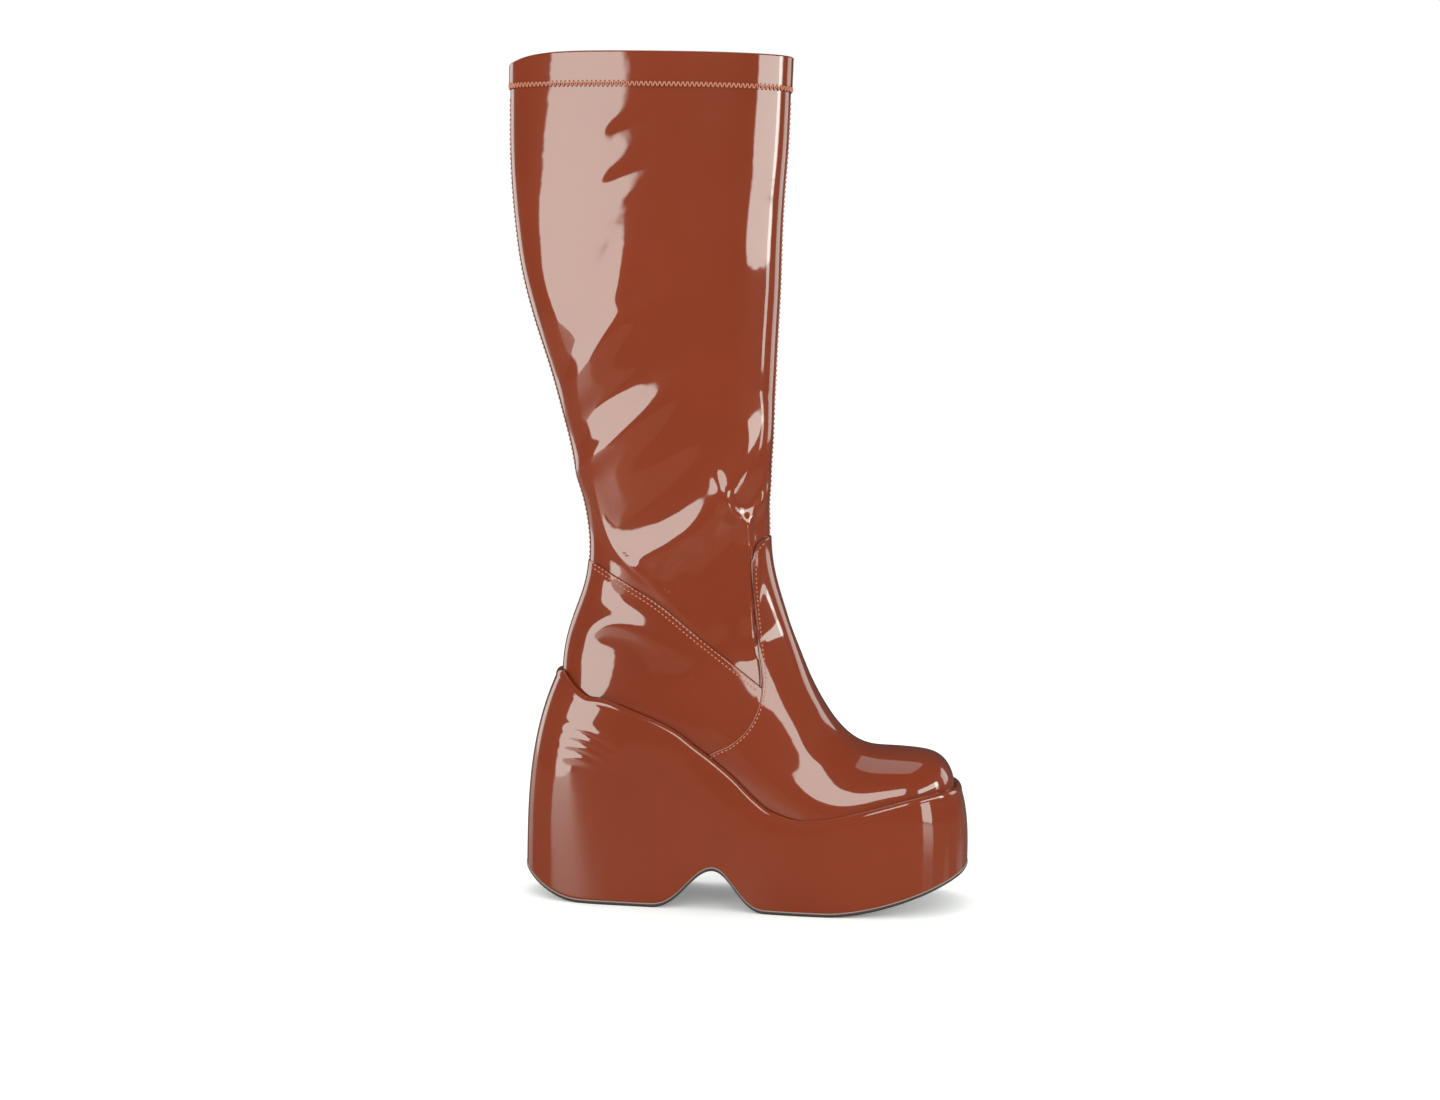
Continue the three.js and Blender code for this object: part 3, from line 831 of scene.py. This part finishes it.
def panel(name, field, thickness, region=None, levels=edge_levels, shade=0.8):
    """The part of the last's surface where the field is above 0, laid over the upper."""
    sheet = Sheet(lambda p: (field(p) > -trim_margin) & (above_seat(p) > -lasted_depth))
    if region:
        region(sheet)
    sheet.trim(field)
    sheet.split(field, *levels)

    def offset(points):
        return base_height(points) + raised_edge(field(points), thickness)

    # Painted shade along the crease at the panel's edge.
    def painted_edge_shade(points):
        return shade * hump(field(points), panel_line_width)

    solid = name.replace("_panel", "")
    sheet.mesh(name, offset, patent, "patent", (solid,), attributes={"seam": painted_edge_shade})


def behind_vamp(sheet):
    sheet.split(plane_gap, *seam_levels).trim(lambda p: -inside_vamp(p), -counter_overlap)


def across_seams(sheet):
    sheet.split(plane_gap, *seam_levels)


panel("vamp_panel", inside_vamp, vamp_thickness)
panel("heel_counter_panel", inside_counter, counter_thickness, behind_vamp)
panel("collar_band_panel", inside_band, band_thickness, across_seams, edge_levels[:-1], 0.7)


def ring_faces(rows, count, flip=False):
    """Quads between closed rows of as many points each."""
    faces = []
    for i in range(rows - 1):
        for j in range(count):
            k = (j + 1) % count
            face = [i * count + j, i * count + k, (i + 1) * count + k, (i + 1) * count + j]
            faces.append(face[::-1] if flip else face)
    return faces


def collar_edge():
    """The band turns over the top of the shaft into the lining."""
    v = np.arange(last_columns)
    u = np.full(last_columns, last_rows - 1.0)
    ring, normal = on_last(u, v), normal_on_last(u, v)
    outside, inner, rise = band_thickness, -upper_wall, 0.9
    rows = []
    for turn in np.linspace(0, np.pi, edge_rows):
        out = (outside + inner) / 2 + (outside - inner) / 2 * math.cos(turn)
        rows.append(ring + normal * out + np.array([0, 0, rise * math.sin(turn)]))
    points = np.concatenate(rows)
    add_piece("collar_edge", points, ring_faces(edge_rows, last_columns, True), patent)


collar_edge()


# The sole's outlines in plan.
def rim_crossings():
    """Where the rim's height meets the last, on both sides of each ring."""
    half, first_row_of_back = last_columns // 2, last_rows * 0.3
    outer, inner, back = [], [], None
    for i in range(last_rows):
        for columns_of_side, found in ((range(0, half + 1), outer), (range(0, -half - 1, -1), inner)):
            ring = last_grid[i, [c % last_columns for c in columns_of_side]]
            above = ring[:, 2] - rim_height(ring[:, 0])
            down = np.nonzero((above[:-1] > 0) & (above[1:] <= 0))[0]
            if len(down):
                k = down[0]
                t = above[k] / (above[k] - above[k + 1])
                found.append(lerp(ring[k], ring[k + 1], t)[:2])
        if back is None and i > first_row_of_back:
            bottom = last_grid[i, half]
            if bottom[2] > rim_height(bottom[0]):
                back = bottom[:2]
    toe = last_grid[0, 0][:2]
    return [back] + outer[::-1] + [toe] + inner


def even_outline(points, count, least_gap=2.5, softness=2.5):
    kept = [points[0]]
    for point in points[1:]:
        if min(np.linalg.norm(point - kept[-1]), np.linalg.norm(point - kept[0])) > least_gap:
            kept.append(point)
    closed = np.array(kept + kept[:1])
    travelled = travel(closed)
    at = np.linspace(0, travelled[-1], count, endpoint=False)
    even = np.stack([np.interp(at, travelled, closed[:, k]) for k in range(2)], axis=1)
    return soften_round(even, softness, 0)


def outward(outline):
    along = np.roll(outline, -1, axis=0) - np.roll(outline, 1, axis=0)
    normal = np.stack([along[:, 1], -along[:, 0]], axis=1)
    return normal / np.linalg.norm(normal, axis=1, keepdims=True)


last_outline = even_outline(rim_crossings(), outline_points)
rim_reach = fit_gap + vamp_thickness + fit_gap + rim_width
rim_outline = last_outline + outward(last_outline) * rim_reach
rim_normal = outward(rim_outline)
rim_x = rim_outline[:, 0]
foot_outline = np.stack(
    [
        sole_length * (rim_x - rim_x.min()) / (rim_x.max() - rim_x.min()),
        rim_outline[:, 1] + wall_flare * rim_normal[:, 1],
    ],
    axis=1,
)


def with_height(outline, height):
    return np.column_stack([outline, height])


# Wrinkles of the platform's cover on the outer side, under the rim at the back of the heel: how far
# each stands out, its softness, and points of the side view.
cover_wrinkles = (
    (0.45, 1.6, ((20, 107), (34, 107), (48, 102), (64, 94))),
    (0.4, 1.5, ((18, 101), (32, 101), (45, 97), (60, 89))),
    (0.4, 1.5, ((20, 95), (34, 95), (48, 90), (58, 84))),
    (0.3, 1.7, ((22, 88), (36, 88), (50, 83))),
)


def wrinkle_height(points):
    total = np.zeros(len(points))
    for height, width, line in cover_wrinkles:
        distance, along, _ = to_line(side_view(points), spline(line))
        taper = np.sin(np.pi * np.clip(along, 0, 1))
        total += height * taper * np.exp(-0.5 * (distance / width) ** 2)
    return total * (points[:, 1] < 0)


def make_platform():
    """The covered wall, its rolled rim, and the fall behind the rim to the upper."""
    crest_share, under_upper, fall_depth, turned_under = 0.62, 0.8, 4.0, 1.0
    foot_z = floor_height(foot_outline[:, 0]) + outsole_thickness
    rim_z = rim_height(rim_x)
    rows = [with_height(foot_outline - outward(foot_outline) * turned_under, foot_z)]
    for climb in np.linspace(0, 1, wall_rows):
        flat = lerp(foot_outline, rim_outline, climb**wall_lean)
        rows.append(with_height(flat, lerp(foot_z, rim_z - rim_roll, climb)))
    top = rim_width * crest_share
    for turn in np.linspace(0, np.pi / 2, roll_rows)[1:]:
        flat = rim_outline - rim_normal * top * (1 - math.cos(turn))
        rows.append(with_height(flat, rim_z - rim_roll * (1 - math.sin(turn))))
    fall = rim_width + fit_gap + under_upper - top
    for turn in np.linspace(0, np.pi / 2, fall_rows)[1:]:
        flat = rim_outline - rim_normal * (top + fall * math.sin(turn))
        rows.append(with_height(flat, rim_z - fall_depth * (1 - math.cos(turn))))
    points = np.concatenate(rows)
    outwards = np.tile(np.column_stack([rim_normal, 0 * rim_x]), (len(rows), 1))
    points = points + outwards * wrinkle_height(points)[:, None]
    faces = ring_faces(len(rows), outline_points)
    # The platform's cover has none of the seams' painted shade.
    no_painted_seam_shade = {"seam": np.zeros(len(points))}
    add_piece("platform_cover", points, faces, patent, ("platform",), no_painted_seam_shade)


def make_outsole():
    """The rubber sheet: its edge, rounded a little, and the face that meets the floor. The profile
    says how far out and up each row lies, and its level from 0 at the floor to 1 at the top."""
    normal = outward(foot_outline)
    floor_z = floor_height(foot_outline[:, 0])
    profile = (
        (-0.6, 0.0, 0.0), (0.0, 0.35, 0.15), (0.25, 0.9, 0.35), (0.3, 1.8, 0.7),
        (0.25, 2.3, 0.9), (0.0, 2.5, 1.0), (-1.2, 2.5, 1.0),
    )
    rows, levels = [], []
    for out, up, level in profile:
        rows.append(with_height(foot_outline + normal * out, floor_z + up))
        levels += [level] * outline_points
    faces = ring_faces(len(rows), outline_points)
    for j in range(outline_points // 2):
        a, b = j, j + 1
        c, d = (outline_points - j) % outline_points, outline_points - j - 1
        face = [c, d, b, a]
        face = [p for p, q in zip(face, face[1:] + face[:1]) if p != q]
        if len(face) > 2:
            faces.append(face)
    points = np.concatenate(rows)
    add_piece("outsole_sheet", points, faces, rubber, ("outsole",), {"level": levels})


def make_insole():
    """The footbed, a little crowned, seen down the shaft."""
    crown, setback, sharpness = 0.8, 0.8, 6
    inner = last_outline - outward(last_outline) * (upper_wall + fit_gap + setback)
    middle = np.stack([inner[:, 0], 0 * inner[:, 1] + inner[:, 1].mean()], axis=1)
    rows = []
    for share in (1.0, 0.97, 0.9, 0.75, 0.5, 0.25, 0.02):
        flat = lerp(middle, inner, share)
        top = seat_height(flat[:, 0]) + insole_thickness
        rows.append(with_height(flat, top - crown * share**sharpness))
    points = np.concatenate(rows)
    faces = ring_faces(len(rows), outline_points)
    add_piece("insole_cover", points, faces, lining, ("insole",))


make_platform()
make_outsole()
make_insole()


# Stitches.
def locate(points, side):
    """u and v on the outer (-1) or inner (1) side for points of the side view."""
    half, rounds, step, most = last_columns // 2, 4, 0.2, 2
    columns_of_side = np.arange(0, half + 1) if side < 0 else np.arange(half, last_columns + 1)

    def seen(u, v):
        return on_last(np.array([u]), np.array([v]))[0][[0, 2]]

    grid = last_grid[:, columns_of_side % last_columns][:, :, [0, 2]]
    found = []
    for point in points:
        gap = np.hypot(grid[..., 0] - point[0], grid[..., 1] - point[1])
        i, j = np.unravel_index(np.argmin(gap), gap.shape)
        u, v = float(i), float(columns_of_side[j])
        for _ in range(rounds):
            here = seen(u, v)
            du = seen(min(u + step, last_rows - 1), v) - here
            matrix = np.stack([du, seen(u, v + step) - here], axis=1) / step
            if abs(np.linalg.det(matrix)) < 1e-3:
                break
            move = np.clip(np.linalg.solve(matrix, point - here), -most, most)
            u = float(np.clip(u + move[0], 0, last_rows - 1))
            v = float(v + move[1])
        found.append((u, v))
    return np.array(found)


def walk(line, spacing):
    """Places a stitch apart along a polyline of any dimension."""
    travelled = travel(line)
    count = max(int(travelled[-1] / spacing), 1)
    at = np.linspace(0, travelled[-1], count + 1)
    return np.stack([np.interp(at, travelled, line[:, k]) for k in range(line.shape[1])], axis=1)


def threads(name, pairs, normals, radius=0.4, sink=0.3):
    """Short threads, each from one hole to the next, humped in the middle and thinner at the holes."""
    segments, rings, shortest, thinnest, hump_power = 6, 5, 0.3, 0.75, 0.5
    points, faces, lift_out_of_hole_shade = [], [], []
    for (start, end), normal in zip(pairs, normals):
        axis = end - start
        length = np.linalg.norm(axis)
        if length < shortest:
            continue
        axis = axis / length
        across = np.cross(normal, axis)
        across = across / max(np.linalg.norm(across), tiny)
        up = np.cross(axis, across)
        first = len(points)
        for k in range(rings):
            share = k / (rings - 1)
            bulge = math.sin(math.pi * share) ** hump_power
            centre = start + axis * length * share + up * radius * (bulge * (1 + sink) - sink - 0.5)
            size = radius * lerp(thinnest, 1.0, bulge)
            # How far each ring stands out of the holes, which sets the thread's painted hole shade.
            lift_out_of_hole_shade += [bulge] * segments
            for s in range(segments):
                turn = 2 * math.pi * s / segments
                points.append(centre + size * (math.cos(turn) * across + math.sin(turn) * up))
        for k in range(rings - 1):
            for s in range(segments):
                t = (s + 1) % segments
                a = first + k * segments
                faces.append([a + s, a + t, a + segments + t, a + segments + s])
        faces.append([first + s for s in range(segments)][::-1])
        faces.append([first + (rings - 1) * segments + s for s in range(segments)])
    add_piece(name, np.array(points), faces, thread, attributes={"depth": lift_out_of_hole_shade})


def stitch_row(uv, height, longest, length_share=0.68):
    """A row of stitches through places on the last, lying on a surface of that height."""
    base = on_last(uv[:, 0], uv[:, 1])
    normal = normal_on_last(uv[:, 0], uv[:, 1])
    on_top = base + normal * (base_height(base) + height)[:, None]
    pairs, normals = [], []
    for start, following, up in zip(on_top[:-1], on_top[1:], normal):
        end = lerp(start, following, length_share)
        if np.linalg.norm(end - start) < longest:
            pairs.append((start, end))
            normals.append(up)
    return pairs, normals


def offset_line(line, distance):
    along = np.gradient(line, axis=0)
    normal = np.stack([-along[:, 1], along[:, 0]], axis=1)
    normal = normal / np.linalg.norm(normal, axis=1, keepdims=True)
    return line + normal * distance


def panel_stitches(name, line, offsets, height, keep):
    """Rows beside an edge, where the last is near enough to the line in the side view."""
    spacing, near_enough, longest = 2.7, 0.8, 1.2
    pairs, normals = [], []
    for side in (-1, 1):
        for offset in offsets:
            places = walk(offset_line(line, offset), spacing)
            uv = locate(places, side)
            reached = on_last(uv[:, 0], uv[:, 1])
            close = np.linalg.norm(side_view(reached) - places, axis=1) < near_enough
            uv = uv[close & keep(reached)]
            if len(uv) < 2:
                continue
            made, up = stitch_row(uv, height, spacing * longest)
            pairs += made
            normals += up
    threads(name, pairs, normals)


panel_stitches("vamp_stitches", vamp_line, (2.3,), vamp_thickness, over_rim)
panel_stitches(
    "counter_stitches",
    counter_line,
    (-1.1, -3.6),
    counter_thickness,
    lambda p: over_rim(p) & (inside_vamp(p) < -1.0),
)


def long_seam_stitches():
    """A row on each side of the front seam and the back seam."""
    samples, rounds, step, most = 900, 3, 0.1, 3
    beside_seam, spacing, longest, below_band = 1.9, 2.9, 4, 4
    pairs, normals = [], []
    for column_middle in (0.0, last_columns / 2):
        for aside in (-1, 1):
            u = np.linspace(0, last_rows - 1, samples)
            v = np.full(samples, column_middle)
            for _ in range(rounds):
                gap = on_last(u, v)[:, 1] - aside * beside_seam
                slope = (on_last(u, v + step)[:, 1] - on_last(u, v - step)[:, 1]) / (2 * step)
                v = v - np.clip(gap / np.where(np.abs(slope) < 1e-3, 1, slope), -most, most)
            line = on_last(u, v)
            good = (long_seams(line) > 0.5) & over_rim(line) & (inside_band(line) < -below_band)
            travelled = travel(line[good])
            at = np.arange(0, travelled[-1], spacing)
            uv = np.stack([np.interp(at, travelled, w[good]) for w in (u, v)], axis=1)
            made, up = stitch_row(uv, 0.0, longest)
            pairs += made
            normals += up
    threads("long_seam_stitches", pairs, normals)


long_seam_stitches()


def collar_zigzag():
    """The overlock row that holds the band: threads up and down between two rows of holes."""
    pitch, tall, low_share, hole_share = 2.7, 4.2, 0.35, 0.06
    samples, rounds, step, first_row = 1200, 6, 0.2, last_rows - 8.0
    level = boot_height - band_height
    low = {"z": level - tall * low_share, "lift": 0.45}
    high = {"z": level + tall * (1 - low_share), "lift": band_thickness + 0.2}
    v = np.linspace(0, last_columns, samples, endpoint=False)
    for row in (low, high):
        u = np.full(samples, first_row)
        for _ in range(rounds):
            here = on_last(u, v)[:, 2]
            slope = (on_last(np.minimum(u + step, last_rows - 1), v)[:, 2] - here) / step
            u = np.clip(u + (row["z"] - here) / slope, 0, last_rows - 1)
        row["u"] = u
    ring = on_last(low["u"], v)
    travelled = travel(np.concatenate([ring, ring[:1]]))
    count = int(travelled[-1] / pitch)
    at = np.linspace(0, travelled[-1], 2 * count, endpoint=False)
    holes, normals = [], []
    for k, place in enumerate(np.interp(at, travelled, np.append(v, last_columns))):
        row = high if k % 2 else low
        uu, vv = np.array([np.interp(place, v, row["u"])]), np.array([place])
        base, normal = on_last(uu, vv), normal_on_last(uu, vv)
        holes.append((base + normal * (base_height(base) + row["lift"])[:, None])[0])
        normals.append(normal[0])
    pairs = []
    for hole, following in zip(holes, holes[1:] + holes[:1]):
        pairs.append((lerp(hole, following, hole_share), lerp(hole, following, 1 - hole_share)))
    threads("collar_zigzag", pairs, normals)


collar_zigzag()


# Floor, lights and camera.
def fade_edges(light, squareness, fade):
    """The panel's cloth glows less near its frame, and its corners are rounded."""
    nodes = Nodes(light)
    place = nodes.add("NewGeometry").outputs["Parametric"]
    axes = nodes.add("SeparateXYZ", Vector=place).outputs
    powers = []
    for axis in ("X", "Y"):
        centred = nodes.math("MULTIPLY_ADD", axes[axis], 2.0, -1.0)
        powers.append(nodes.math("POWER", nodes.math("ABSOLUTE", centred), squareness))
    out = nodes.math("POWER", nodes.math("ADD", *powers), 1.0 / squareness)
    glow = nodes.add("MapRange", Value=out, From_Min=1.0, From_Max=1.0 - fade)
    glow.interpolation_type = "SMOOTHSTEP"
    nodes.put(nodes.tree.nodes["Emission"], Strength=glow.outputs["Result"])


def softbox(
    name, azimuth, height, distance, width, tall, radiance, target=0.25, roll=0, squareness=8.0
):
    """A lit panel that faces the boot's axis at the target's height, turned in its plane by roll."""
    centre_x, fade = 0.065, 0.1
    light = bpy.data.lights.new(name, "AREA")
    light.shape = "RECTANGLE"
    light.size, light.size_y = width, tall
    light.energy = radiance * math.pi * width * tall
    light.color = (0.93, 1.0, 0.93)
    fade_edges(light, squareness, fade)
    lamp = bpy.data.objects.new(name, light)
    turn = math.radians(azimuth)
    lamp.location = (centre_x + distance * math.sin(turn), -distance * math.cos(turn), height)
    bpy.context.collection.objects.link(lamp)
    direction = Vector((centre_x, 0, target)) - lamp.location
    lamp.rotation_euler = direction.to_track_quat("-Z", "Y").to_euler()
    lamp.rotation_euler.rotate_axis("Z", math.radians(roll))


def make_floor():
    """Pale matt paper to the eye. The gloss sees it as a darker table with a soft polish."""
    reach, corners = 1.5, 96
    turns = [2 * math.pi * k / corners for k in range(corners)]
    rim = [(reach * math.cos(turn), reach * math.sin(turn), 0) for turn in turns]
    mesh = bpy.data.meshes.new("studio_floor")
    mesh.from_pydata(rim, [], [list(range(corners))])
    look = Nodes(bpy.data.materials.new("studio_floor"))
    ray = look.add("LightPath").outputs
    dull, bright, table_top = (0.91, 0.91, 0.91, 1), (0.93, 0.93, 0.93, 1), (0.17, 0.12, 0.1, 1)
    paper = look.ramp(look.noise(40.0), (0.3, dull), (0.7, bright))
    look.finish(
        Base_Color=look.mix(ray["Is Glossy Ray"], paper, table_top),
        Specular_IOR_Level=look.math("MULTIPLY", ray["Is Glossy Ray"], 0.14),
        Roughness=0.2,
        Emission_Color=(1, 1, 1, 1),
        Emission_Strength=look.math("MULTIPLY", ray["Is Camera Ray"], 0.22),
    )
    mesh.materials.append(look.owner)
    floor = bpy.data.objects.new("studio_floor", mesh)
    bpy.context.collection.objects.link(floor)


def make_world():
    """White to the eye, pale to matt surfaces, and a dim room to all that the gloss reflects."""
    world = bpy.data.worlds.new("studio")
    bpy.context.scene.world = world
    nodes = Nodes(world)
    nodes.tree.nodes.clear()
    ray = nodes.add("LightPath").outputs

    def room(strength):
        return nodes.add("Background", Color=(1, 1, 1, 1), Strength=strength).outputs["Background"]

    def choose(which, usual, special):
        mix = nodes.add("MixShader", Fac=ray[which])
        nodes.give(mix.inputs[1], usual)
        nodes.give(mix.inputs[2], special)
        return mix.outputs["Shader"]

    lit = choose("Is Glossy Ray", room(0.9), room(0.06))
    nodes.add("OutputWorld", Surface=choose("Is Camera Ray", lit, room(1.0)))


def make_camera():
    """The photo's own view: nearly square to the outer side, from a little ahead and above."""
    distance, eye_height, beside = 1.55, 0.35, 0.130 - heel_rest_setback / MM
    yaw, pan, pitch, roll = (math.radians(angle) for angle in (4.5, -0.51, -5.03, 1.0))
    focal_pixels, photo_width = 2557.5, 1440
    data = bpy.data.cameras.new("photo_view")
    data.sensor_width = 36.0
    data.lens = focal_pixels / photo_width * data.sensor_width
    camera = bpy.data.objects.new("photo_view", data)
    place = Vector((beside + distance * math.sin(yaw), -distance * math.cos(yaw), eye_height))
    turn = Matrix.Rotation(yaw - pan, 4, "Z") @ Matrix.Rotation(math.pi / 2 + pitch, 4, "X")
    camera.matrix_world = Matrix.Translation(place) @ turn @ Matrix.Rotation(roll, 4, "Z")
    bpy.context.collection.objects.link(camera)
    bpy.context.scene.camera = camera


# The lit panels, in metres and degrees. Azimuth 0 is the boot's outer side, and 90 ahead of the toe.
softboxes = table(
    "name azimuth height distance width tall radiance target roll squareness".split(),
    ("window_left", -42.3, 0.41, 1.47, 1.75, 0.55, 3.1, 0.25, 29, 4.0),
    ("window_right", 69, 0.56, 1.3, 1.15, 0.3, 3.6),
    ("window_right_core", 85, 0.475, 1.29, 0.19, 0.45, 3.0),
    ("high_front", 16, 0.985, 1.6, 0.9, 0.58, 3.0),
    ("low_front", 55, 0.075, 1.3, 0.3, 0.15, 3.0),
    ("back_left", -125, 0.6, 1.3, 0.6, 1.4, 1.6),
    ("back_right", 125, 0.45, 1.3, 0.6, 0.5, 1.6),
    ("overhead", 180, 2.0, 0.4, 1.4, 1.4, 0.7, 0.0),
)

make_floor()
make_world()
make_camera()
for row in softboxes:
    softbox(**row)
bpy.context.scene.view_settings.view_transform = "Standard"
